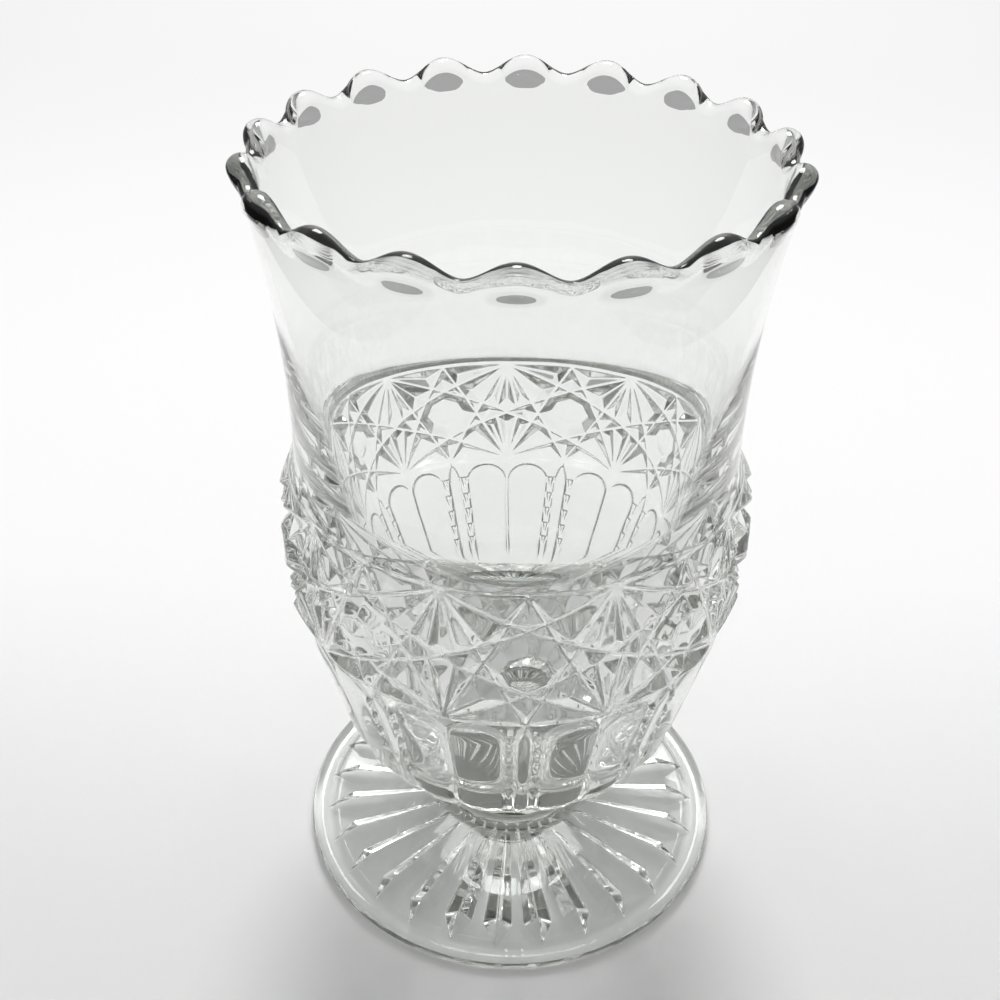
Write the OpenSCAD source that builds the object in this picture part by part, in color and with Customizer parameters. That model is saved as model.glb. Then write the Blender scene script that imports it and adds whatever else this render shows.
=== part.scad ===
/* [Foot] */
// Diameter of the foot
foot_d = 94.8; // [90:0.2:104]
// Thickness of the rounded edge of the foot
foot_edge = 4.4; // [3.6:0.1:5.4]
// Height of the foot at the collar
foot_rise = 12; // [10:0.5:16]
// Diameter of the collar where the stem stands on the foot
collar_d = 36; // [34:0.5:40]
// Height of the upright side of the collar
collar_h = 1.3; // [0.8:0.1:2]
// Width of the clear ring outside the rays
clear_ring = 4.2; // [3.5:0.1:5.5]
// Depth of the hollow under the foot
foot_hollow = 2; // [1.2:0.1:2.4]
// Rays under the foot for each column of the pattern
rays_per_column = 3; // [2:1:4]
// Diameter of the plain middle where the rays start
ray_start_d = 20; // [18:0.5:28]
// Width of a ray where it starts
ray_root_w = 1.6; // [1.2:0.1:1.8]
// Width of a ray at its widest place
ray_w = 4.6; // [3.6:0.1:5.6]
// Depth of a ray at its widest place
ray_depth = 1.4; // [1:0.1:1.7]
// Length of the point at the outer end of a ray
ray_point = 5.2; // [4:0.1:7]

/* [Stem] */
// Height of the stem
stem_h = 12; // [9:0.5:18]
// Diameter of the stem at its ends
stem_d = 34; // [32.5:0.5:34]
// Diameter of the stem at its waist
stem_waist_d = 31; // [26:0.5:32]

/* [Bowl] */
// Height of the funnel under the bowl
under_h = 9.5; // [8:0.5:14]
// Radius of the rounded corner under the wall
corner_r = 14; // [10:0.5:16]
// Height of the fluted wall, from the corner to the band
flute_h = 36.5; // [30:0.5:44]
// Diameter of the fluted wall above its corner
wall_low_d = 68; // [65:0.2:72]
// Diameter of the fluted wall under the band
wall_top_d = 86.6; // [82:0.2:88]
// Height of the patterned band
band_h = 30.8; // [26:0.4:36]
// Diameter at the bottom of the cuts in the band
band_d = 88.8; // [88:0.2:94]
// Height of the plain rail at the edges of the band
rail_h = 1.1; // [0.8:0.1:1.6]
// Height of the plain cup above the band
cup_h = 61.1; // [50:0.1:72]
// Height of the cup's narrowest place above the band
waist_h = 9; // [6:0.5:14]
// Diameter of the cup at its narrowest place
waist_d = 86.4; // [84:0.2:88]
// Inside diameter at the cup's narrowest place
inner_waist_d = 79.2; // [76:0.2:80]
// Inside diameter above the floor
inner_low_d = 66; // [60:0.2:67]
// Radius of the corner round the floor inside
inner_corner_r = 9; // [6:0.5:12]
// Thickness of the floor of the bowl
floor_t = 16; // [13:0.5:18]

/* [Rim] */
// Diameter of the rim between its teeth
rim_d = 98.6; // [94:0.2:104]
// Inside diameter of the rim
inner_rim_d = 89.6; // [86:0.2:91]
// Depth of the scallops between the teeth
scallop_h = 3.2; // [2:0.1:4]
// How far a tooth swells out
swell_relief = 1.3; // [0.6:0.1:1.6]
// Width of the swelling of a tooth
swell_w = 12.4; // [10:0.2:14]
// Height of the swelling of a tooth
swell_h = 8.6; // [7:0.2:10]
// Depth of the middle of a swelling under the rim
swell_drop = 3; // [2.4:0.1:4]
// Height of the rounding outside the rim, on a tooth
tooth_lip = 3.2; // [2.4:0.1:3.6]
// Height of the rounding outside the rim, between two teeth
valley_lip = 1.9; // [1.4:0.1:2.4]
// Radius of the rounding inside the rim
inner_lip = 1; // [0.6:0.1:1.4]

/* [Pattern] */
// Columns of the pattern, each with a fan and a button
columns = 9; // [8:1:10]
// Height of a button above the cuts
button_relief = 3; // [2:0.1:3.4]
// Share of a button's cell that its flat face takes
button_face = 0.68; // [0.55:0.01:0.75]
// Height of the large facets above the cuts
facet_relief = 2.4; // [1.6:0.1:2.8]
// Height of the small facets above the cuts
point_relief = 1.2; // [0.8:0.1:1.6]
// Height of a fan's ridges above the cuts
fan_relief = 1.6; // [1:0.1:2]
// Height of the flutes above the channels between them
flute_relief = 1.3; // [0.8:0.1:1.6]
// Height of the arch at the top of a flute
arch_h = 5; // [4:0.2:6]
// Plain gap between the arches and the band
arch_gap = 0.8; // [0.5:0.1:1.4]
// Height of a bead beside a tongue
bead_relief = 1.1; // [0.6:0.1:1.4]
// Beads in one row
bead_count = 6; // [5:1:8]
// Angle of a fan, seen from above
fan_turn = 93.3; // [0:0.1:120]
// Angle of a tooth of the rim, seen from above
rim_turn = 89.5; // [0:0.1:120]

/* [Hidden] */
glass = [0.86, 0.9, 0.88, 0.55];

// Heights of the joints, from the table up
stem_z = foot_rise;
bowl_z = stem_z + stem_h;
corner_z = bowl_z + under_h;
flute_top_z = corner_z + flute_h;
band_z = flute_top_z + rail_h;
band_top_z = band_z + band_h;
cup_z = band_top_z + 2 * rail_h;
waist_z = cup_z + waist_h;
rim_z = cup_z + cup_h;
floor_z = bowl_z + floor_t;

// One column takes pitch degrees and is made of two mirrored halves
pitch = 360 / columns;
half = pitch / 2;
teeth = 2 * columns;
tooth_pitch = 360 / teeth;
band_r = band_d / 2;

// Steps round half a column of the plain cup: 0 is the middle of a fan, 1 the middle of a button
ring_steps = 6;
ring_u = [for (j = [0 : ring_steps]) j / ring_steps];

function lerp(a, b, t) = a + (b - a) * t;
function mean(v) = v * [for (x = v) 1] / len(v);

// Lines of cuts, as points of half a column [place, height share 0 to 1 of the upper half band]
fan_tip = [0, 1];
fan_star = [0, 0];
button_tip = [1, 1];
button_middle = [1, 0];
far_star = [2, 0];
far_tip = [2, 1];
low_fan_tip = [0, -1];
low_button_tip = [1, -1];

// Crossing of the lines p-q and r-s
function crossing(p, q, r, s) =
    let (d = q - p, e = s - r, w = r - p)
    p + d * ((w[0] * e[1] - w[1] * e[0]) / (d[0] * e[1] - d[1] * e[0]));

side_star = crossing(fan_tip, low_button_tip, button_tip, low_fan_tip);
fan_corner = crossing(fan_tip, low_button_tip, fan_star, far_tip);
button_corner = crossing(button_tip, low_fan_tip, fan_star, far_tip);
kite_corner = crossing(button_tip, low_fan_tip, far_star, fan_tip);
button_top = crossing(fan_star, far_tip, far_star, fan_tip);

// A fan's groove and ridges, and the peaks of the large facets
groove_share = 0.42;
ridge_share = 0.72;
ridge_lift = 0.2;
fan_groove = lerp(fan_star, fan_corner, groove_share);
fan_ridge = [0, 0.26];
fan_side_ridge = lerp(lerp(fan_star, fan_corner, ridge_share), fan_tip, ridge_lift);
side_peak = [0.27, 0];
fan_peak = [0.53, 0.44];
kite_peak = [1, 0.7];
edge_peak = [0.74, 0.78];

// A cut point lies on the ground, a raised point stands above it
function cut(p) = [p[0], p[1], 0];
function raised(p, relief) = [p[0], p[1], relief];
function middle(cell) = [for (i = [0, 1]) mean([for (p = cell) p[i]])];

// Facets that rise from the edges of a cell to its peak
function peak_facets(cell, peak) =
    [for (i = [0 : len(cell) - 2]) [cut(cell[i]), cut(cell[i + 1]), peak]];
function closed_facets(cell, peak) = peak_facets(concat(cell, [cell[0]]), peak);

function fan_facets() =
    let (groove = cut(fan_groove),
         centre_ridge = raised(fan_ridge, fan_relief),
         side_ridge = raised(fan_side_ridge, fan_relief))
    [[cut(fan_tip), groove, centre_ridge],
     [centre_ridge, groove, cut(fan_star)],
     [cut(fan_tip), side_ridge, groove],
     [groove, side_ridge, cut(fan_corner)],
     [cut(fan_tip), cut(fan_corner), side_ridge]];

function button_facets() =
    let (face_top = raised(lerp(button_middle, button_top, button_face), button_relief),
         face_corner = raised(lerp(button_middle, button_corner, button_face), button_relief),
         face_side = raised(lerp(button_middle, side_star, button_face), button_relief),
         face_middle = raised(button_middle, button_relief))
    [[cut(button_top), cut(button_corner), face_top],
     [cut(button_corner), face_corner, face_top],
     [cut(button_corner), cut(side_star), face_corner],
     [cut(side_star), face_side, face_corner],
     [face_top, face_corner, face_middle],
     [face_corner, face_side, face_middle]];

function between_facets() =
    let (fan_cell = [fan_tip, fan_corner, button_corner, kite_corner],
         point_cell = [fan_corner, side_star, button_corner],
         kite_point_cell = [kite_corner, button_corner, button_top],
         edge_cell = [fan_tip, kite_corner, button_tip],
         side_cell = [side_star, fan_corner, fan_groove, fan_star],
         kite_cell = [button_tip, kite_corner, button_top])
    concat(
        peak_facets(side_cell, raised(side_peak, facet_relief)),
        closed_facets(point_cell, raised(middle(point_cell), point_relief)),
        closed_facets(fan_cell, raised(fan_peak, facet_relief)),
        peak_facets(kite_cell, raised(kite_peak, facet_relief)),
        closed_facets(kite_point_cell, raised(middle(kite_point_cell), point_relief)),
        closed_facets(edge_cell, raised(edge_peak, facet_relief)));

// A facet in half a column: the height share becomes a height, the relief a radius
function band_point(p, side) = [p[0], band_z + band_h * (1 + side * p[1]) / 2, band_r + p[2]];
function band_tile() =
    let (quarter = concat(fan_facets(), button_facets(), between_facets()))
    [for (side = [1, -1], f = quarter) [for (p = f) band_point(p, side)]];

// Fluted wall: places of a flute, a tongue and a row of beads across half a column
flute_middle = 0.385;
flute_half = 0.37;
flute_round = 0.8;
tongue_half = 0.13;
tongue_share = 0.85;
bead_place = 0.8;
flute_steps = [-0.9, -0.55, 0, 0.55, 0.9];
flute_u = concat([0], [for (s = flute_steps) flute_middle + s * flute_half], [bead_place, 1 - tongue_half, 1]);

// Share of the flute's height at a place, and the outline of the arches
function domed(x) = pow(max(0, 1 - x * x), flute_round);
function flute_share(u) =
    max(domed((u - flute_middle) / flute_half), tongue_share * domed((1 - u) / tongue_half));
function wall_r(z) = lerp(wall_low_d, wall_top_d, (z - corner_z) / flute_h) / 2;
function arch_z(u) = flute_top_z - arch_gap - arch_h * (1 - flute_share(u));

// Rows of the fluted wall, from the band down to the corner
arch_step = 1.2;
corner_share = 0.75;
wall_rows = 2 * bead_count + 1;
wall_foot_z = corner_z + corner_share * corner_r;
function bead_at(u, row) = u == bead_place && row % 2 == 1 ? bead_relief : 0;
function wall_point(u, row) =
    let (z = lerp(arch_z(u) - arch_step, wall_foot_z, row / wall_rows))
    [u, z, wall_r(z) + flute_relief * flute_share(u) + bead_at(u, row)];
function edge_row() = [for (u = flute_u) [u, flute_top_z, wall_r(flute_top_z)]];
function arch_row() = [for (u = flute_u) [u, arch_z(u), wall_r(arch_z(u))]];
function flute_rows() = [for (row = [0 : wall_rows]) [for (u = flute_u) wall_point(u, row)]];

// Rows round the corner and along the funnel, where the flutes fade out
corner_turns = [20, 40, 60, 78];
corner_centre_r = wall_r(wall_foot_z) - corner_r;
function corner_point(u, turn) =
    [u,
     wall_foot_z - corner_r * sin(turn),
     corner_centre_r + corner_r * cos(turn) + flute_relief * flute_share(u) * (1 - turn / 90)];
function corner_rows() = [for (turn = corner_turns) [for (u = flute_u) corner_point(u, turn)]];
function base_row() = [for (u = flute_u) [u, bowl_z, stem_d / 2]];

// Rows of the plain cup, up the outside
cup_shares = [0, 0.15, 0.35, 0.55, 0.75];
function flare(z) = pow((z - waist_z) / (rim_z - waist_z), 2);
function cup_r(z) = lerp(waist_d, rim_d, flare(z)) / 2;
function cup_rows() =
    [for (s = cup_shares) let (z = cup_z + cup_h * s) [for (u = ring_u) [u, z, cup_r(z)]]];

// Teeth of the rim: their height and their swelling, at an angle
swell_follow = 0.5;
swell_round = 1.3;
swell_foot = swell_drop + swell_h / 2;
function tooth_z(a) = rim_z - scallop_h * (1 - cos(teeth * (a - rim_turn))) / 2;
function tooth_away(a) = (a - rim_turn + 360 + tooth_pitch / 2) % tooth_pitch - tooth_pitch / 2;
function swell(a, z) =
    let (x = tooth_away(a) / 360 * PI * rim_d / (swell_w / 2),
         y = (z - rim_z + swell_drop + swell_follow * (rim_z - tooth_z(a))) / (swell_h / 2))
    swell_relief * pow(max(0, 1 - x * x - y * y), swell_round);
function outer_r(a, z) = cup_r(z) + swell(a, z);
function inner_cup_r(z) = lerp(inner_waist_d, inner_rim_d, (z - waist_z) / (rim_z - waist_z)) / 2;

// Rows up the teeth and over the rounded rim, from the outside to the inside
tooth_shares = [0, 0.25, 0.5, 0.75];
lip_turns = [0, 25, 50, 72, 90, 135, 180];
function lip_h(a) = lerp(tooth_lip, valley_lip, (rim_z - tooth_z(a)) / scallop_h);
function tooth_point(u, a, share) =
    let (z = tooth_z(a) - lerp(swell_foot, lip_h(a), share))
    [u, z, outer_r(a, z)];
function lip_point(u, a, turn) =
    let (top = tooth_z(a), low = top - lip_h(a), ridge_r = inner_cup_r(top) + inner_lip)
    turn <= 90
        ? [u, low + lip_h(a) * sin(turn), lerp(ridge_r, outer_r(a, low), cos(turn))]
        : [u, top - inner_lip + inner_lip * sin(turn), ridge_r + inner_lip * cos(turn)];
function tooth_rows(k, side) =
    [for (s = tooth_shares) [for (u = ring_u) tooth_point(u, angle_at(k, side, u), s)]];
function lip_rows(k, side) =
    [for (turn = lip_turns) [for (u = ring_u) lip_point(u, angle_at(k, side, u), turn)]];

// Rows down the inside
inner_turns = [20, 45, 70, 90];
inner_low_z = floor_z + inner_corner_r;
inner_floor_r = inner_low_d / 2 - inner_corner_r;
function inner_corner_point(u, turn) =
    [u, inner_low_z - inner_corner_r * sin(turn), inner_floor_r + inner_corner_r * cos(turn)];
function inner_rows() =
    concat(
        [[for (u = ring_u) [u, waist_z, inner_waist_d / 2]],
         [for (u = ring_u) [u, inner_low_z, inner_low_d / 2]]],
        [for (turn = inner_turns) [for (u = ring_u) inner_corner_point(u, turn)]]);

// Two triangles for each step between an upper and a lower row
function step_pair(upper, lower, i) =
    [[lower[i], lower[i + 1], upper[i + 1]], [lower[i], upper[i + 1], upper[i]]];
function strip(upper, lower) = [for (i = [0 : len(upper) - 2], t = step_pair(upper, lower, i)) t];
function strips(rows) = [for (i = [0 : len(rows) - 2], t = strip(rows[i], rows[i + 1])) t];

// Triangles between a row and the two ends of a plain edge, above or below it
function edge_fan(row, a, b) =
    let (last = len(row) - 1, turn_at = floor(last / 2))
    concat([for (i = [0 : turn_at - 1]) [a, row[i], row[i + 1]]],
           [[a, row[turn_at], b]],
           [for (i = [turn_at : last - 1]) [b, row[i], row[i + 1]]]);
function disc_fan(row, z) = [for (i = [0 : len(row) - 2]) [row[i], row[i + 1], [row[i][0], z, 0]]];
function flipped(triangles) = [for (t = triangles) [t[2], t[1], t[0]]];

// A band facet turned so that it runs anticlockwise
function upright(f) =
    let (d = f[1] - f[0], e = f[2] - f[0])
    d[0] * e[1] - d[1] * e[0] > 0 ? f : [f[2], f[1], f[0]];

// All triangles of one half of one column, seen anticlockwise from the glass's outside
function half_column(k, side) =
    let (wall = concat([edge_row(), arch_row()], flute_rows(), corner_rows(), [base_row()]),
         rail = [for (u = ring_u) [u, band_top_z + rail_h, band_r]],
         outside = concat([rail], cup_rows(), tooth_rows(k, side), [lip_rows(k, side)[0]]),
         inside = concat(lip_rows(k, side), inner_rows()))
    concat(
        flipped(disc_fan(base_row(), bowl_z)),
        strips(wall),
        edge_fan(edge_row(), band_point(cut(low_fan_tip), 1), band_point(cut(low_button_tip), 1)),
        [for (f = band_tile()) upright(f)],
        flipped(edge_fan(rail, band_point(cut(fan_tip), 1), band_point(cut(button_tip), 1))),
        flipped(strips(outside)),
        flipped(strips(inside)),
        disc_fan(inside[len(inside) - 1], floor_z));

// Places become points: halves are mirrored about the fan and repeated round the axis
function angle_at(k, side, u) = fan_turn + (k * pitch + side * u * half + 360) % 360;
function placed(p, k, side) =
    let (a = angle_at(k, side, p[0]))
    p[2] == 0 ? [0, 0, p[1]] : [p[2] * cos(a), p[2] * sin(a), p[1]];
function bowl_triangles() =
    [for (k = [0 : columns - 1], side = [1, -1])
        for (t = side > 0 ? half_column(k, side) : flipped(half_column(k, side)))
            [for (p = t) placed(p, k, side)]];

module bowl() {
    triangles = bowl_triangles();
    points = [for (t = triangles, p = t) p];
    faces = [for (i = [0 : len(triangles) - 1]) [3 * i + 2, 3 * i + 1, 3 * i]];
    color(glass) polyhedron(points, faces);
}

// Half the outline of the stem, with a hollow curved waist
stem_steps = 8;
function stem_r(t) = lerp(stem_d, stem_waist_d, sin(180 * t)) / 2;
module stem() {
    side = [for (i = [0 : stem_steps]) let (t = i / stem_steps) [stem_r(t), stem_z + stem_h * t]];
    color(glass) rotate_extrude($fn = 96) polygon(concat([[0, stem_z]], side, [[0, bowl_z]]));
}

// Outline of the foot: resting ring, rounded edge, cone and collar
foot_r = foot_d / 2;
ring_r = foot_r - clear_ring;
ring_draft = 0.8;
ray_gap = 0.4;
under_r = ring_r - ring_draft;
edge_steps = 8;
module foot_body() {
    edge_r = foot_edge / 2;
    collar_r = collar_d / 2;
    edge = [for (i = [0 : edge_steps]) let (a = -90 + 180 * i / edge_steps)
        [foot_r - edge_r + edge_r * cos(a), edge_r + edge_r * sin(a)]];
    under = [[0, foot_hollow], [under_r, foot_hollow], [ring_r, 0]];
    collar = [[collar_r, foot_rise - collar_h], [collar_r, foot_rise], [0, foot_rise]];
    rotate_extrude($fn = 128) polygon(concat(under, edge, collar));
}

// One ray: a long cone that widens outwards and runs out to a point
module ray() {
    root_r = ray_start_d / 2;
    wide_r = under_r - ray_gap - ray_point;
    sink = (pow(ray_w / 2, 2) - pow(ray_depth, 2)) / (2 * ray_depth);
    root_cut = sqrt(pow(ray_root_w / 2, 2) + sink * sink);
    wide_cut = sink + ray_depth;
    translate([0, 0, foot_hollow - sink]) rotate([0, 90, 0]) {
        translate([0, 0, root_r]) cylinder(h = wide_r - root_r, r1 = root_cut, r2 = wide_cut, $fn = 48);
        translate([0, 0, wide_r]) cylinder(h = ray_point, r1 = wide_cut, r2 = sink, $fn = 48);
    }
}

module foot() {
    count = rays_per_column * columns;
    color(glass) difference() {
        foot_body();
        for (i = [0 : count - 1]) rotate([0, 0, fan_turn + 360 / count * i]) ray();
    }
}

bowl();
stem();
foot();
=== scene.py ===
import math

import bpy
import numpy as np
from mathutils import Matrix, Vector


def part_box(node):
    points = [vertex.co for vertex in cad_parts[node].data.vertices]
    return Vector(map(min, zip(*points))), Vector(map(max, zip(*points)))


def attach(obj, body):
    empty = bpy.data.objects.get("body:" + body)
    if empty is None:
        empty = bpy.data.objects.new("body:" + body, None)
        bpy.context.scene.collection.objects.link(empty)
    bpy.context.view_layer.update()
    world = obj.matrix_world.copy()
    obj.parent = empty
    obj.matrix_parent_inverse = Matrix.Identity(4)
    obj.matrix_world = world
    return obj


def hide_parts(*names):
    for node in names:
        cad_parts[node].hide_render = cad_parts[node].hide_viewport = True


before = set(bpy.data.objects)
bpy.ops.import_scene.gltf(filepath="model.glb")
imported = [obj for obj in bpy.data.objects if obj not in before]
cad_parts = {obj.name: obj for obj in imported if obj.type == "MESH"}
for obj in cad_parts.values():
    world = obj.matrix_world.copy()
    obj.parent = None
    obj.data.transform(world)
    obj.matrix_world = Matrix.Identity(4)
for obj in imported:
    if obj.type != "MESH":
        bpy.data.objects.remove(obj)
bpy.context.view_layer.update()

# Sizes of the vase are in millimetres, heights run up from the table, and the vase's axis is Z
MM = 0.001
LEAST = 1e-6
TINY = 1e-9

# Heights of the three pieces of glass, from the frame
FOOT_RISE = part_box("foot")[1][2] / MM
BOWL_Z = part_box("stem")[1][2] / MM
RIM_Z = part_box("bowl")[1][2] / MM

# Pattern: columns round the vase, and the angles of a fan and of a rim tooth
COLUMNS = 9
HALF_COLUMN = 180 / COLUMNS
FAN_TURN = 93.3
TOOTH_TURN = 89.5
TEETH = 2 * COLUMNS

# Bowl, from the joint with the stem up to the waist of the cup
STEM_R = 17
UNDER_H = 9.5
CORNER_R = 14
CORNER_LIFT = 0.75
CORNER_Z = BOWL_Z + UNDER_H
WALL_H = 36.5
WALL_LOW_R = 34.0
WALL_TOP_R = 43.3
WALL_LEAN = math.atan2(WALL_TOP_R - WALL_LOW_R, WALL_H)
CORNER_MIDDLE_Z = CORNER_Z + CORNER_R * CORNER_LIFT
WALL_FOOT_Z = CORNER_MIDDLE_Z - CORNER_R * math.sin(WALL_LEAN)
FLUTE_TOP_Z = CORNER_Z + WALL_H
RAIL_H = 1.1
BAND_H = 30.8
BAND_R = 44.4
BAND_Z = FLUTE_TOP_Z + RAIL_H
CUP_Z = BAND_Z + BAND_H + 2 * RAIL_H
WAIST_RISE = 9
WAIST_Z = CUP_Z + WAIST_RISE
WAIST_R = 43.2

# Rails below and above the band: place within the rail's height, and step in or out
LOW_RAIL_PLACE = 0.3
LOW_RAIL_IN = 0.2
TOP_RAIL_PLACE = 0.6
TOP_RAIL_OUT = 0.15

# Rim: its teeth, the oval slope where a tooth swells out, and the rounded lip
RIM_R = 48.9
TOOTH_H = 3.2
TOOTH_ROUND = 0.9
TOOTH_BULGE = 1.3
BULGE_DROP = 4.9
BULGE_FOLLOW = 0.2
BULGE_HALF_W = 4.8
BULGE_HALF_H = 1.8
LIP_VALLEY = 1.7
LIP_TOOTH = 2.2
LIP_IN = 2.4

# Inside of the bowl
FLOOR_T = 16
FLOOR_Z = BOWL_Z + FLOOR_T
INNER_RIM_R = 44.8
INNER_WAIST_R = 39.6
INNER_LOW_R = 33
INNER_CORNER_R = 9

# Relief of the band above the ground of its cuts
BUTTON_RELIEF = 3.0
BUTTON_FACE = 0.58
BUTTON_HOLLOW = 0.6
BUTTON_HOLLOW_R = 5.2
FACET_RELIEF = 2.4
POINT_RELIEF = 1.2
FAN_RELIEF = 1.6
EDGE_SOFT = 0.22
SOFT_STEPS = 5

# Folds of a fan: shares of the way from the star to the fan's corner, and up to its tip
FAN_GROOVE = 0.42
FAN_CENTRE = 0.26
FAN_SIDE = 0.72
FAN_SIDE_UP = 0.2

# Peaks of the pyramids, as place across half a column and share of the band's half height
SIDE_PEAK = (0.27, 0)
FAN_PEAK = (0.53, 0.44)
KITE_PEAK = (1, 0.7)
EDGE_PEAK = (0.74, 0.78)

# Fluted wall: places of a flute, a tongue and a row of beads across half a column
FLUTE_RELIEF = 1.4
FLUTE_MIDDLE = 0.385
FLUTE_HALF = 0.37
FLUTE_ROUND = 0.5
TONGUE_HALF = 0.13
TONGUE_SHARE = 0.85
ARCH_H = 5.0
ARCH_GAP = 0.6
SPRING_Z = FLUTE_TOP_Z - ARCH_GAP - ARCH_H
UNDER_FADE = 0.5

# Beads: studs that point down
BEAD_RELIEF = 1.3
BEAD_PITCH = 5.0
BEAD_COUNT = 5
BEAD_PLACE = 0.81
BEAD_HALF = 0.08
BEAD_DROP = 0.85
BEAD_RISE = 1.5
BEAD_SIDE_SLOPE = 2.2
BEAD_TOP_SLOPE = 5

# Steps of the bowl's mesh
HALF_STEPS = 48
RING = 2 * COLUMNS * HALF_STEPS
FUNNEL_STEPS = 16
CORNER_STEPS = 20
WALL_STEPS = 90
BAND_STEPS = 120
CUP_STEPS = 100
CUP_CROWD = 0.55
LIP_STEPS = 25
LIP_IN_STEPS = 15
INNER_CUP_STEPS = 36
INNER_WALL_STEPS = 20
INNER_CORNER_STEPS = 10
FLOOR_STEPS = 8

# Foot and stem
FOOT_R = 47.4
FOOT_EDGE = 4.4
COLLAR_R = 18
COLLAR_H = 1.3
COLLAR_IN = 0.2
CLEAR_RING = 4.2
RING_IN_R = FOOT_R - CLEAR_RING
FOOT_HOLLOW = 1.2
RING_DRAFT = 2.0
STEM_WAIST_R = 15.5
JOINT_GAP = 0.02

# Rays: V cuts under the foot that widen outwards and run out to a point
RAYS = 3 * COLUMNS
RAY_SECTOR = math.pi / RAYS
RAY_GAP = 0.4
RAY_START_R = 10
RAY_ROOT_HALF = 0.8
RAY_HALF = 3.2
RAY_SLOPE = 0.92
RAY_POINT = 5.2
RAY_LEAST = 0.3
RAY_MOST = 0.8

# Steps of the meshes of the foot and the stem
FOOT_MIDDLE_R = 0.6
FOOT_MIDDLE_STEPS = 8
RAY_ROWS = 70
EDGE_STEPS = 16
CONE_STEPS = 24
STEM_COLUMNS = 144
STEM_STEPS = 25

# Columns of the foot's mesh: shares of half a ray, then shares of half the land beside it
RAY_COLUMNS = np.array([0, 0.08, 0.3, 0.6, 0.9, 1])
LAND_COLUMNS = np.array([0.05, 0.2, 0.55])

# Glass: its clear colour, the colour it takes in its depth and how fast, per metre
GLASS_COLOUR = (0.955, 0.966, 0.955, 1)
GLASS_IOR = 1.5
GLASS_DEPTH = (0.5, 0.51, 0.46, 1)
GLASS_DENSITY = 6.5
RIPPLE_SCALE = 90
RIPPLE_DETAIL = 1.0
RIPPLE_STRENGTH = 0.1
RIPPLE_DEPTH = 0.0002

# Table, in metres: a straight near end and a round far one, with a level of grey at three places; the
# grey is painted shade: a painted shadow towards the camera and a little painted shade towards the
# back
TABLE_DROP = 0.0002
TABLE_NEAR_W = 0.15
TABLE_FAR_W = 0.46
TABLE_NEAR_Y = -0.3
TABLE_ROUND_Y = 0.45
TABLE_ROUND = 0.42
TABLE_ARC = 49
TABLE_NEAR_PAINTED_SHADE = (-0.06, 0.76)
TABLE_MIDDLE = (0.1, 0.93)
TABLE_FAR_PAINTED_SHADE = (0.6, 0.79)

# Room: levels of the walls and the ceiling towards the front and the back, and where they change
CEILING_FRONT = 0.75
CEILING_BACK = 1.2
CEILING_TURN = (-0.2, 0.7)
CEILING_FADE = (0.2, 0.7)
ROOM_FRONT = 0.15
ROOM_BACK = 0.5
ROOM_TURN = (0.2, 0.9)

# One large soft lamp above and behind the vase, in metres
LAMP_PLACE = (0, 0.9, 1.4)
LAMP_SIZE = 0.62
LAMP_WATTS = 13.5

# Camera, from the photograph: place in millimetres, angles in degrees
CAMERA_PLACE = (0, -215.88, 246.05)
CAMERA_PITCH = 35.82
CAMERA_YAW = -0.83
CAMERA_ROLL = 0.56
CAMERA_LENS = 47.27
CAMERA_SENSOR = 36
CAMERA_NEAR = 0.01

# Bounces of light, so many because of the long ways inside the glass
GLASS_BOUNCES = 96
GLOSSY_BOUNCES = 12
CLEAR_BOUNCES = 16

# Places round the bowl: 0 is the middle of a fan, 1 the middle of a button
RING_DEG = FAN_TURN + np.arange(RING) * HALF_COLUMN / HALF_STEPS
RING_PLACE = np.abs((np.arange(RING) + HALF_STEPS) % (2 * HALF_STEPS) - HALF_STEPS)
HALF_U = np.linspace(0, 1, HALF_STEPS + 1)


def smooth(t):
    """A soft step from 0 to 1."""
    t = np.clip(t, 0, 1)
    return t * t * (3 - 2 * t)


def crossing(p, q, r, s):
    """Where the lines p-q and r-s cross."""
    p, q, r, s = (np.array(v, float) for v in (p, q, r, s))
    d, e, w = q - p, s - r, r - p
    return p + d * (w[0] * e[1] - w[1] * e[0]) / (d[0] * e[1] - d[1] * e[0])


def lattice():
    """Named points of the cut lines in a quarter of a column, as (place, height share)."""
    fan_tip, star, button_tip = np.array([0.0, 1]), np.array([0.0, 0]), np.array([1.0, 1])
    far_star, far_tip = (2, 0), (2, 1)
    low_fan, low_button = (0, -1), (1, -1)
    return {
        "fan_tip": fan_tip,
        "star": star,
        "button_tip": button_tip,
        "middle": np.array([1.0, 0]),
        "side": crossing(fan_tip, low_button, button_tip, low_fan),
        "fan_corner": crossing(fan_tip, low_button, star, far_tip),
        "button_corner": crossing(button_tip, low_fan, star, far_tip),
        "kite_corner": crossing(button_tip, low_fan, far_star, fan_tip),
        "button_top": crossing(star, far_tip, far_star, fan_tip),
    }


def cut(p):
    """A point on the ground of the cuts."""
    return (p[0], p[1], 0.0)


def raised(p, relief):
    """A point above the ground of the cuts."""
    return (p[0], p[1], relief)


def peak_facets(cell, peak):
    """Facets that rise from the edges of a cell to its peak."""
    return [(cut(a), cut(b), peak) for a, b in zip(cell[:-1], cell[1:])]


def fan_facets(at):
    """The folded fan between its tip and the star."""
    tip, star, corner = at["fan_tip"], at["star"], at["fan_corner"]
    groove = cut(star + FAN_GROOVE * (corner - star))
    centre = raised((0, FAN_CENTRE), FAN_RELIEF)
    foot = star + FAN_SIDE * (corner - star)
    side = raised(foot + FAN_SIDE_UP * (tip - foot), FAN_RELIEF)
    return [
        (cut(tip), groove, centre),
        (centre, groove, cut(star)),
        (cut(tip), side, groove),
        (groove, side, cut(corner)),
        (cut(tip), cut(corner), side),
    ]


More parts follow.
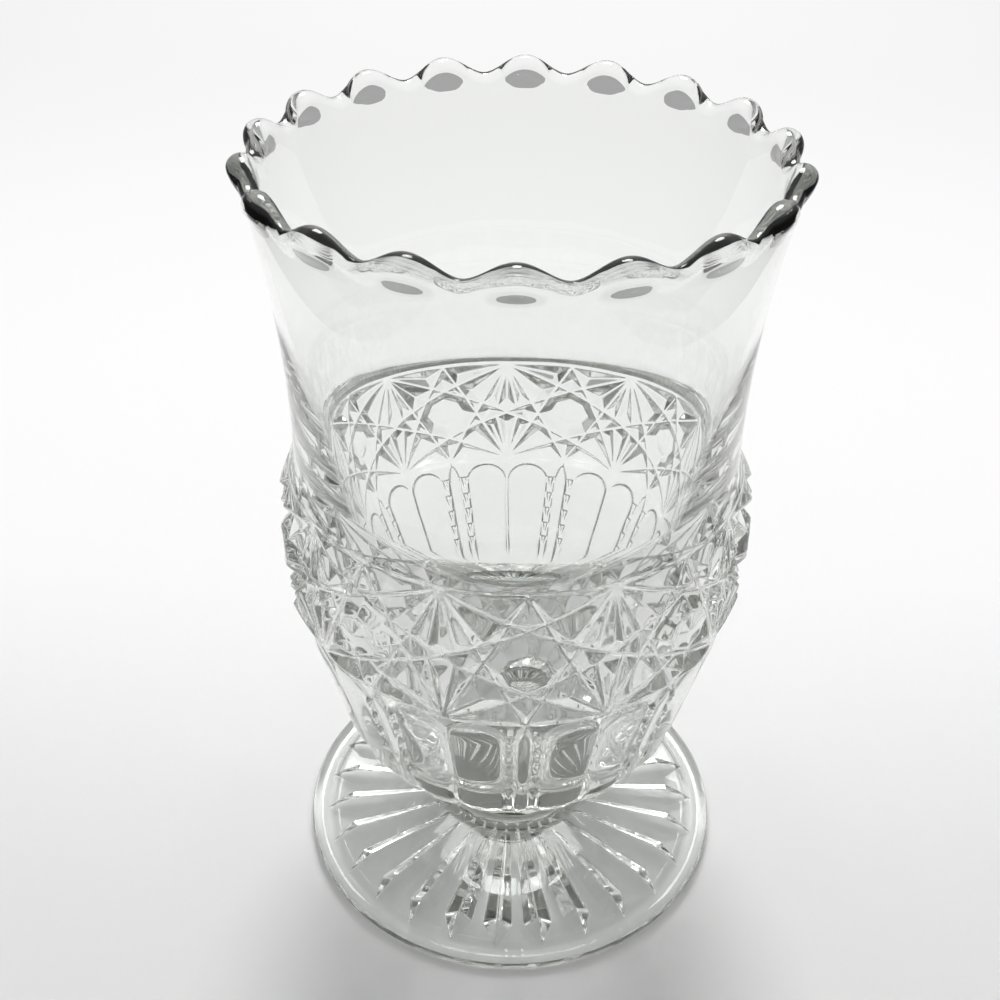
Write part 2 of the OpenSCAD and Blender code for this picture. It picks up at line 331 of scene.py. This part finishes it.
def button_facets(at):
    """The bevelled button with its face."""
    middle = at["middle"]
    top, corner, side = at["button_top"], at["button_corner"], at["side"]
    face_top, face_corner, face_side = (
        raised(middle + BUTTON_FACE * (p - middle), BUTTON_RELIEF) for p in (top, corner, side)
    )
    face_middle = raised(middle, BUTTON_RELIEF)
    return [
        (cut(top), cut(corner), face_top),
        (cut(corner), face_corner, face_top),
        (cut(corner), cut(side), face_corner),
        (cut(side), face_side, face_corner),
        (face_top, face_corner, face_middle),
        (face_corner, face_side, face_middle),
    ]


def between_facets(at):
    """The pyramids between the fans and the buttons."""
    fan_cell = [at[n] for n in ("fan_tip", "fan_corner", "button_corner", "kite_corner", "fan_tip")]
    point_cell = [at[n] for n in ("fan_corner", "side", "button_corner", "fan_corner")]
    kite_point = [at[n] for n in ("kite_corner", "button_corner", "button_top", "kite_corner")]
    edge_cell = [at[n] for n in ("fan_tip", "kite_corner", "button_tip", "fan_tip")]
    side_cell = [at[n] for n in ("side", "fan_corner", "star")]
    kite_cell = [at[n] for n in ("button_tip", "kite_corner", "button_top")]
    return (
        peak_facets(side_cell, raised(SIDE_PEAK, FACET_RELIEF))
        + peak_facets(point_cell, raised(np.mean(point_cell[:-1], axis=0), POINT_RELIEF))
        + peak_facets(fan_cell, raised(FAN_PEAK, FACET_RELIEF))
        + peak_facets(kite_cell, raised(KITE_PEAK, FACET_RELIEF))
        + peak_facets(kite_point, raised(np.mean(kite_point[:-1], axis=0), POINT_RELIEF))
        + peak_facets(edge_cell, raised(EDGE_PEAK, FACET_RELIEF))
    )


def facet_height(facets, place, share):
    """Relief of the facets at points of a quarter of a column."""
    height = np.zeros_like(place)
    for a, b, c in np.array(facets):
        d = (b[0] - a[0]) * (c[1] - a[1]) - (c[0] - a[0]) * (b[1] - a[1])
        s = ((place - a[0]) * (c[1] - a[1]) - (c[0] - a[0]) * (share - a[1])) / d
        t = ((b[0] - a[0]) * (share - a[1]) - (place - a[0]) * (b[1] - a[1])) / d
        inside = (s >= -TINY) & (t >= -TINY) & (s + t <= 1 + TINY)
        height = np.where(inside, a[2] + s * (b[2] - a[2]) + t * (c[2] - a[2]), height)
    return height


def folded(place, share):
    """Points of a neighbouring quarter, mirrored back into this one."""
    place = np.abs(place)
    place = np.where(place > 1, 2 - place, place)
    return place, np.abs(share)


def button_hollow(place, share):
    """Depth of the round hollow in the face of a button."""
    across = (1 - place) * math.radians(HALF_COLUMN) * BAND_R / BUTTON_HOLLOW_R
    up = share * BAND_H / 2 / BUTTON_HOLLOW_R
    return BUTTON_HOLLOW * np.maximum(0, 1 - across ** 2 - up ** 2)


def band_relief(rows):
    """Relief of the band: rows of heights by half a column, with softened edges."""
    at = lattice()
    facets = fan_facets(at) + button_facets(at) + between_facets(at)
    share = np.linspace(-1, 1, rows)
    place, share = np.meshgrid(HALF_U, share)
    soft_u = EDGE_SOFT / (math.radians(HALF_COLUMN) * BAND_R)
    soft_z = EDGE_SOFT / (BAND_H / 2)
    total = np.zeros_like(place)
    offsets = np.linspace(-1, 1, SOFT_STEPS)
    for du in offsets:
        for dz in offsets:
            p, s = folded(place + du * soft_u, share + dz * soft_z)
            total += np.where(s > 1, 0, facet_height(facets, p, np.minimum(s, 1)))
    return total / len(offsets) ** 2 - button_hollow(place, share)


def wall_r(z):
    """Radius of the channels between the flutes."""
    t = (z - CORNER_Z) / (FLUTE_TOP_Z - CORNER_Z)
    return WALL_LOW_R + (WALL_TOP_R - WALL_LOW_R) * t


def domed(x, y):
    """A dome over the unit circle."""
    return np.maximum(0, 1 - x * x - y * y) ** FLUTE_ROUND


def bead(x, y):
    """A stud that points down: x runs from -1 to 1 across it and y from 0 to 1 down it."""
    sides = 1 - y - np.abs(x)
    return np.clip(np.minimum(BEAD_SIDE_SLOPE * sides, BEAD_TOP_SLOPE * y), 0, 1)


def flute_relief(u, z):
    """Relief of the flutes, tongues and beads above the channels."""
    above = np.maximum(0, z - SPRING_Z) / ARCH_H
    flute = domed((u - FLUTE_MIDDLE) / FLUTE_HALF, above)
    narrowing = np.sqrt(np.clip(1 - above, LEAST, 1))
    tongue = TONGUE_SHARE * domed((1 - u) / (TONGUE_HALF * narrowing), 0)
    relief = FLUTE_RELIEF * np.maximum(flute, tongue)
    for i in range(BEAD_COUNT):
        down = (SPRING_Z + BEAD_RISE - i * BEAD_PITCH - z) / (BEAD_DROP * BEAD_PITCH)
        stud = bead((u - BEAD_PLACE) / BEAD_HALF, down)
        relief = np.maximum(relief, BEAD_RELIEF * stud)
    return relief


def ring_row(z, r):
    """Points of one ring, where z and r are numbers or have a value for each step of the ring."""
    a = np.radians(RING_DEG)
    z = np.broadcast_to(z, RING)
    r = np.broadcast_to(r, RING)
    return np.stack([r * np.cos(a), r * np.sin(a), z], axis=1)


def funnel_turn(centre_r):
    """Angle on the corner's circle where a straight funnel from the stem touches it."""
    across, up = centre_r - STEM_R, CORNER_MIDDLE_Z - BOWL_Z
    slope = math.atan2(up, across) - math.asin(CORNER_R / math.hypot(across, up))
    return math.pi / 2 - slope


def under_rows():
    """From the joint with the stem out along the funnel and round the corner."""
    relief = flute_relief(HALF_U, WALL_FOOT_Z)[RING_PLACE]
    centre_r = wall_r(WALL_FOOT_Z) - CORNER_R * math.cos(WALL_LEAN)
    touch = funnel_turn(centre_r)
    touch_r = centre_r + CORNER_R * math.cos(touch)
    touch_z = CORNER_MIDDLE_Z - CORNER_R * math.sin(touch)
    rows = []
    for t in np.linspace(0, 1, FUNNEL_STEPS)[:-1]:
        r = STEM_R + (touch_r - STEM_R) * t + relief * UNDER_FADE * smooth(t)
        rows.append(ring_row(BOWL_Z + (touch_z - BOWL_Z) * t, r))
    for a in np.linspace(touch, WALL_LEAN, CORNER_STEPS)[:-1]:
        fade = 1 - (1 - UNDER_FADE) * (a - WALL_LEAN) / (touch - WALL_LEAN)
        r = centre_r + CORNER_R * math.cos(a) + relief * fade
        rows.append(ring_row(CORNER_MIDDLE_Z - CORNER_R * math.sin(a), r))
    return rows


def flute_rows():
    """Up the fluted wall to the band."""
    rows = []
    for z in np.linspace(WALL_FOOT_Z, FLUTE_TOP_Z, WALL_STEPS):
        relief = flute_relief(HALF_U, z)[RING_PLACE]
        rows.append(ring_row(z, wall_r(z) + relief))
    return rows


def band_rows():
    """Up the patterned band, with a plain rail below and above it."""
    relief = band_relief(BAND_STEPS)
    heights = np.linspace(BAND_Z, BAND_Z + BAND_H, BAND_STEPS)
    rows = [ring_row(BAND_Z - LOW_RAIL_PLACE * RAIL_H, BAND_R - LOW_RAIL_IN)]
    for z, line in zip(heights, relief):
        rows.append(ring_row(z, BAND_R + line[RING_PLACE]))
    rows.append(ring_row(BAND_Z + BAND_H + TOP_RAIL_PLACE * RAIL_H, BAND_R + TOP_RAIL_OUT))
    rows.append(ring_row(BAND_Z + BAND_H + RAIL_H, BAND_R))
    return rows


def flare(z):
    """Share of the cup's flare at a height."""
    return ((z - WAIST_Z) / (RIM_Z - WAIST_Z)) ** 2


def cup_r(z):
    """Outer radius of the cup."""
    return WAIST_R + (RIM_R - WAIST_R) * flare(z)


def inner_cup_r(z):
    """Inner radius of the cup, above its waist."""
    return INNER_WAIST_R + (INNER_RIM_R - INNER_WAIST_R) * (z - WAIST_Z) / (RIM_Z - WAIST_Z)


def tooth_z():
    """Height of the rim round the ring."""
    wave = np.cos(np.radians(TEETH * (RING_DEG - TOOTH_TURN)))
    return RIM_Z - TOOTH_H * (1 - ((1 + wave) / 2) ** TOOTH_ROUND)


def tooth_bulge(z):
    """How far the teeth swell out along an oval slope, at a height for each step of the ring."""
    pitch = 360 / TEETH
    away = (RING_DEG - TOOTH_TURN + pitch / 2) % pitch - pitch / 2
    x = np.radians(away) * RIM_R / BULGE_HALF_W
    y = (z - RIM_Z + BULGE_DROP + BULGE_FOLLOW * (RIM_Z - tooth_z())) / BULGE_HALF_H
    chord = np.sqrt(np.maximum(LEAST, 1 - x * x))
    turn = np.arcsin(np.clip(y / chord, -1, 1))
    return TOOTH_BULGE * chord ** 2 * (turn + np.sin(2 * turn) / 2 + math.pi / 2) / math.pi


def lip_rows(top, lip_h):
    """Over the rim, outside and inside, from the height of its edge and of its outer rounding."""
    low = top - lip_h
    out_r = cup_r(low) + tooth_bulge(low)
    edge_r = inner_cup_r(top) + LIP_IN
    rows = []
    for a in np.radians(np.linspace(0, 90, LIP_STEPS))[:-1]:
        r = edge_r + (out_r - edge_r) * math.cos(a)
        rows.append(ring_row(low + lip_h * math.sin(a), r))
    for a in np.radians(np.linspace(90, 180, LIP_IN_STEPS)):
        r = edge_r + LIP_IN * math.cos(a)
        rows.append(ring_row(top - LIP_IN + LIP_IN * math.sin(a), r))
    return rows


def cup_rows():
    """Up the plain cup, over the rim and down the inside of the cup."""
    top = tooth_z()
    share = 1 - (RIM_Z - top) / TOOTH_H
    lip_h = LIP_VALLEY + (LIP_TOOTH - LIP_VALLEY) * share
    lip = top - lip_h
    rows = []
    for t in np.linspace(0, 1, CUP_STEPS)[:-1]:
        z = CUP_Z + (lip - CUP_Z) * t ** CUP_CROWD
        rows.append(ring_row(z, cup_r(z) + tooth_bulge(z)))
    rows.extend(lip_rows(top, lip_h))
    for t in np.linspace(1, 0, INNER_CUP_STEPS)[1:]:
        z = WAIST_Z + (top - LIP_IN - WAIST_Z) * t
        rows.append(ring_row(z, inner_cup_r(z)))
    return rows


def inner_rows():
    """Down the inside of the bowl to its floor."""
    low_z = FLOOR_Z + INNER_CORNER_R
    floor_r = INNER_LOW_R - INNER_CORNER_R
    rows = []
    for t in np.linspace(0, 1, INNER_WALL_STEPS)[1:]:
        r = INNER_WAIST_R + (INNER_LOW_R - INNER_WAIST_R) * t
        rows.append(ring_row(WAIST_Z + (low_z - WAIST_Z) * t, r))
    for a in np.radians(np.linspace(0, 90, INNER_CORNER_STEPS))[1:]:
        r = floor_r + INNER_CORNER_R * math.cos(a)
        rows.append(ring_row(low_z - INNER_CORNER_R * math.sin(a), r))
    for t in np.linspace(1, 0, FLOOR_STEPS)[1:-1]:
        rows.append(ring_row(FLOOR_Z, floor_r * t))
    return rows


def ray_half(r):
    """Half the width of a ray at a radius."""
    outer = RING_IN_R - RAY_GAP
    wide = outer - RAY_POINT
    along = np.clip((r - RAY_START_R) / (wide - RAY_START_R), 0, 1)
    point = np.clip((outer - r) / RAY_POINT, 0, 1)
    root = np.clip((r - RAY_START_R) / RAY_ROOT_HALF, 0, 1)
    return root * point * (RAY_ROOT_HALF + (RAY_HALF - RAY_ROOT_HALF) * along)


def ray_columns(r):
    """Angles of the columns from the middle of one ray, at a radius."""
    edge = min(max(ray_half(r), RAY_LEAST) / r, RAY_MOST * RAY_SECTOR)
    side = np.concatenate([edge * RAY_COLUMNS, edge + (RAY_SECTOR - edge) * LAND_COLUMNS])
    return np.concatenate([-side[:0:-1], side, [RAY_SECTOR]])


def foot_ring(z, r):
    """Points of one ring of the foot."""
    middles = math.radians(FAN_TURN) + np.arange(RAYS) * 2 * math.pi / RAYS
    a = (middles[:, None] + ray_columns(r)).ravel()
    z = np.broadcast_to(z, a.shape)
    return np.stack([r * np.cos(a), r * np.sin(a), z], axis=1)


def ray_rise(r):
    """How far the underside is cut at a radius, round the foot."""
    away = np.abs(ray_columns(r)) * r
    return np.tile(RAY_SLOPE * np.maximum(0, ray_half(r) - away), RAYS)


def underside_rows():
    """From under the middle of the foot out along the rays to the ring that it stands on."""
    rows = []
    for r in np.linspace(FOOT_MIDDLE_R, RAY_START_R, FOOT_MIDDLE_STEPS)[:-1]:
        rows.append(foot_ring(FOOT_HOLLOW, r))
    for r in np.linspace(RAY_START_R, RING_IN_R, RAY_ROWS):
        slope = min(1, (RING_IN_R - r) / RING_DRAFT)
        rows.append(foot_ring(FOOT_HOLLOW * slope + ray_rise(r), r))
    return rows


def topside_rows():
    """Round the edge of the foot and up its cone to the collar."""
    edge_r = FOOT_EDGE / 2
    middle_r = FOOT_R - edge_r
    collar_z = FOOT_RISE - COLLAR_H
    rows = []
    for a in np.radians(np.linspace(-90, 90, EDGE_STEPS)):
        rows.append(foot_ring(edge_r + edge_r * math.sin(a), middle_r + edge_r * math.cos(a)))
    for t in np.linspace(0, 1, CONE_STEPS)[1:]:
        r = middle_r + (COLLAR_R - middle_r) * t
        rows.append(foot_ring(FOOT_EDGE + (collar_z - FOOT_EDGE) * t, r))
    rows.append(foot_ring(FOOT_RISE, COLLAR_R - COLLAR_IN))
    rows.append(foot_ring(FOOT_RISE, STEM_R))
    return rows


def stem_rows():
    """Up the stem, with its hollow waist and a hair of room at both joints."""
    low, high = FOOT_RISE + JOINT_GAP, BOWL_Z - JOINT_GAP
    a = np.radians(np.arange(STEM_COLUMNS) * 360 / STEM_COLUMNS)
    rows = []
    for t in np.linspace(0, 1, STEM_STEPS):
        r = STEM_R + (STEM_WAIST_R - STEM_R) * math.sin(math.pi * t)
        z = np.full_like(a, low + (high - low) * t)
        rows.append(np.stack([r * np.cos(a), r * np.sin(a), z], axis=1))
    return rows


def ring_faces(count, ring):
    """Faces between the rings, then a fan that closes the first ring and one that closes the last."""
    here = np.arange(ring)
    there = (here + 1) % ring
    faces = []
    for i in range(count - 1):
        a, b = i * ring, (i + 1) * ring
        faces.extend(zip(a + here, a + there, b + there, b + here))
    last = (count - 1) * ring
    faces.extend(zip(there, here, np.full(ring, count * ring)))
    faces.extend(zip(last + here, last + there, np.full(ring, count * ring + 1)))
    return [tuple(int(v) for v in face) for face in faces]


def closed_rings(name, rows, joints):
    """A closed mesh of rings: each end gets a middle point, and the ends in joints are fused faces."""
    rows = np.array(rows)
    count, ring, _ = rows.shape
    ends = [(0, 0, rows[0, 0, 2]), (0, 0, rows[-1, 0, 2])]
    points = np.concatenate([rows.reshape(-1, 3), ends]) * MM
    faces = ring_faces(count, ring)
    fans = {"first": slice(-2 * ring, -ring), "last": slice(-ring, None)}
    fused = np.zeros(len(faces))
    for end in joints:
        fused[fans[end]] = 1
    mesh = bpy.data.meshes.new(name)
    mesh.from_pydata(points.tolist(), [], faces)
    mesh.polygons.foreach_set("use_smooth", fused == 0)
    mesh.attributes.new("fused", "FLOAT", "FACE").data.foreach_set("value", fused)
    mesh.update()
    piece = bpy.data.objects.new(name, mesh)
    bpy.context.scene.collection.objects.link(piece)
    return piece


def new_material(name):
    """An empty node material, with its output node."""
    material = bpy.data.materials.new(name)
    material.use_nodes = True
    nodes = material.node_tree.nodes
    nodes.clear()
    output = nodes.new("ShaderNodeOutputMaterial")
    return material, nodes, material.node_tree.links, output


def add_ripple(nodes, links, shader):
    """The faint ripple of a fire-polished surface."""
    place = nodes.new("ShaderNodeTexCoord")
    ripple = nodes.new("ShaderNodeTexNoise")
    ripple.inputs["Scale"].default_value = RIPPLE_SCALE
    ripple.inputs["Detail"].default_value = RIPPLE_DETAIL
    bump = nodes.new("ShaderNodeBump")
    bump.inputs["Strength"].default_value = RIPPLE_STRENGTH
    bump.inputs["Distance"].default_value = RIPPLE_DEPTH
    links.new(place.outputs["Object"], ripple.inputs["Vector"])
    links.new(ripple.outputs["Fac"], bump.inputs["Height"])
    links.new(bump.outputs["Normal"], shader.inputs["Normal"])


def clear_joints(nodes, links, shader):
    """Let light run straight on through the faces where two pieces are fused."""
    joint = nodes.new("ShaderNodeAttribute")
    joint.attribute_name = "fused"
    solid = nodes.new("ShaderNodeMath")
    solid.operation = "SUBTRACT"
    solid.inputs[0].default_value = 1
    links.new(joint.outputs["Fac"], solid.inputs[1])
    links.new(solid.outputs["Value"], shader.inputs["Alpha"])


def glass_material():
    """Clear pressed glass that takes a little colour in its depth."""
    material, nodes, links, output = new_material("clear_glass")
    shader = nodes.new("ShaderNodeBsdfPrincipled")
    shader.inputs["Base Color"].default_value = GLASS_COLOUR
    shader.inputs["Roughness"].default_value = 0.0
    shader.inputs["IOR"].default_value = GLASS_IOR
    shader.inputs["Transmission Weight"].default_value = 1.0
    add_ripple(nodes, links, shader)
    clear_joints(nodes, links, shader)
    depth = nodes.new("ShaderNodeVolumeAbsorption")
    depth.inputs["Color"].default_value = GLASS_DEPTH
    depth.inputs["Density"].default_value = GLASS_DENSITY
    links.new(shader.outputs["BSDF"], output.inputs["Surface"])
    links.new(depth.outputs["Volume"], output.inputs["Volume"])
    return material


def map_range(nodes, ends, levels):
    """A soft step node from one level to another between two ends."""
    node = nodes.new("ShaderNodeMapRange")
    node.interpolation_type = "SMOOTHSTEP"
    node.inputs["From Min"].default_value = ends[0]
    node.inputs["From Max"].default_value = ends[1]
    node.inputs["To Min"].default_value = levels[0]
    node.inputs["To Max"].default_value = levels[1]
    return node


def floor_material():
    """Plain pale table top with painted shade: its colour grows darker towards the camera, a painted
    shadow, and a little darker towards the back, painted shade.
    """
    material, nodes, links, output = new_material("table_top_painted_shade")
    shader = nodes.new("ShaderNodeBsdfDiffuse")
    place = nodes.new("ShaderNodeTexCoord")
    split = nodes.new("ShaderNodeSeparateXYZ")
    # Painted shadow: the table's colour darkens towards the camera
    painted_camera_shade = map_range(nodes, (TABLE_NEAR_PAINTED_SHADE[0], TABLE_MIDDLE[0]), (TABLE_NEAR_PAINTED_SHADE[1], TABLE_MIDDLE[1]))
    # Painted shade: the table's colour darkens a little towards the back
    painted_back_shade = map_range(nodes, (TABLE_MIDDLE[0], TABLE_FAR_PAINTED_SHADE[0]), (1, TABLE_FAR_PAINTED_SHADE[1] / TABLE_MIDDLE[1]))
    level = nodes.new("ShaderNodeMath")
    level.operation = "MULTIPLY"
    links.new(place.outputs["Object"], split.inputs["Vector"])
    links.new(split.outputs["Y"], painted_camera_shade.inputs["Value"])
    links.new(split.outputs["Y"], painted_back_shade.inputs["Value"])
    links.new(painted_camera_shade.outputs["Result"], level.inputs[0])
    links.new(painted_back_shade.outputs["Result"], level.inputs[1])
    links.new(level.outputs["Value"], shader.inputs["Color"])
    links.new(shader.outputs["BSDF"], output.inputs["Surface"])
    return material


def add_floor():
    """A table top just under the foot."""
    mesh = bpy.data.meshes.new("table")
    corners = [(-TABLE_NEAR_W, TABLE_NEAR_Y, 0), (TABLE_NEAR_W, TABLE_NEAR_Y, 0)]
    for a in np.linspace(0, math.pi, TABLE_ARC):
        far_y = TABLE_ROUND_Y + TABLE_ROUND * math.sin(a)
        corners.append((TABLE_FAR_W * math.cos(a), far_y, 0))
    mesh.from_pydata(corners, [], [tuple(range(len(corners)))])
    table = bpy.data.objects.new("table", mesh)
    table.location.z = -TABLE_DROP
    bpy.context.scene.collection.objects.link(table)
    mesh.materials.append(floor_material())


def add_world():
    """A grey room, darker on the camera's side, under a bright ceiling."""
    world = bpy.data.worlds.new("room")
    bpy.context.scene.world = world
    world.use_nodes = True
    nodes, links = world.node_tree.nodes, world.node_tree.links
    nodes.clear()
    output = nodes.new("ShaderNodeOutputWorld")
    background = nodes.new("ShaderNodeBackground")
    place = nodes.new("ShaderNodeTexCoord")
    split = nodes.new("ShaderNodeSeparateXYZ")
    walls = map_range(nodes, ROOM_TURN, (ROOM_FRONT, ROOM_BACK))
    ceiling = map_range(nodes, CEILING_TURN, (CEILING_FRONT, CEILING_BACK))
    height = map_range(nodes, CEILING_FADE, (0, 1))
    room = nodes.new("ShaderNodeMix")
    links.new(place.outputs["Generated"], split.inputs["Vector"])
    links.new(split.outputs["Y"], walls.inputs["Value"])
    links.new(split.outputs["Y"], ceiling.inputs["Value"])
    links.new(split.outputs["Z"], height.inputs["Value"])
    links.new(height.outputs["Result"], room.inputs["Factor"])
    links.new(walls.outputs["Result"], room.inputs["A"])
    links.new(ceiling.outputs["Result"], room.inputs["B"])
    links.new(room.outputs["Result"], background.inputs["Strength"])
    links.new(background.outputs["Background"], output.inputs["Surface"])


def add_lamp():
    """The round soft lamp, aimed at the vase."""
    lamp = bpy.data.lights.new("soft_lamp", "AREA")
    lamp.shape = "DISK"
    lamp.size = LAMP_SIZE
    lamp.energy = LAMP_WATTS
    holder = bpy.data.objects.new("soft_lamp", lamp)
    holder.location = LAMP_PLACE
    holder.rotation_euler = (-holder.location).to_track_quat("-Z", "Y").to_euler()
    bpy.context.scene.collection.objects.link(holder)


def camera_turn():
    """The camera's axes, from its pitch, yaw and roll."""
    pitch, yaw, roll = (math.radians(v) for v in (CAMERA_PITCH, CAMERA_YAW, CAMERA_ROLL))
    ahead = math.cos(pitch)
    forward = Vector((math.sin(yaw) * ahead, math.cos(yaw) * ahead, -math.sin(pitch)))
    level = Vector((math.cos(yaw), -math.sin(yaw), 0))
    above = level.cross(forward)
    right = math.cos(roll) * level + math.sin(roll) * above
    up = -math.sin(roll) * level + math.cos(roll) * above
    return Matrix((right, up, -forward)).transposed().to_4x4()


def add_camera():
    """The camera at the photograph's viewing angle."""
    camera = bpy.data.objects.new("camera", bpy.data.cameras.new("camera"))
    camera.data.lens = CAMERA_LENS
    camera.data.sensor_width = CAMERA_SENSOR
    camera.data.clip_start = CAMERA_NEAR
    camera.matrix_world = Matrix.Translation(Vector(CAMERA_PLACE) * MM) @ camera_turn()
    bpy.context.scene.collection.objects.link(camera)
    bpy.context.scene.camera = camera


def add_pieces():
    """The bowl, stem and foot, in place of their plain solids."""
    glass = glass_material()
    bowl_rows = under_rows() + flute_rows() + band_rows() + cup_rows() + inner_rows()
    foot_rows = underside_rows() + topside_rows()
    made = {
        "bowl": closed_rings("pressed_bowl", bowl_rows, ["first"]),
        "stem": closed_rings("waisted_stem", stem_rows(), ["first", "last"]),
        "foot": closed_rings("rayed_foot", foot_rows, ["last"]),
    }
    for node, piece in made.items():
        piece.data.materials.append(glass)
        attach(piece, "root")
        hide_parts(node)


def set_light_paths():
    """Plain view colours, and enough bounces for thick clear glass."""
    scene = bpy.context.scene
    scene.view_settings.view_transform = "Standard"
    scene.cycles.max_bounces = GLASS_BOUNCES
    scene.cycles.transmission_bounces = GLASS_BOUNCES
    scene.cycles.glossy_bounces = GLOSSY_BOUNCES
    scene.cycles.transparent_max_bounces = CLEAR_BOUNCES
    scene.cycles.blur_glossy = 0.0


add_camera()
add_floor()
add_world()
add_lamp()
add_pieces()
set_light_paths()
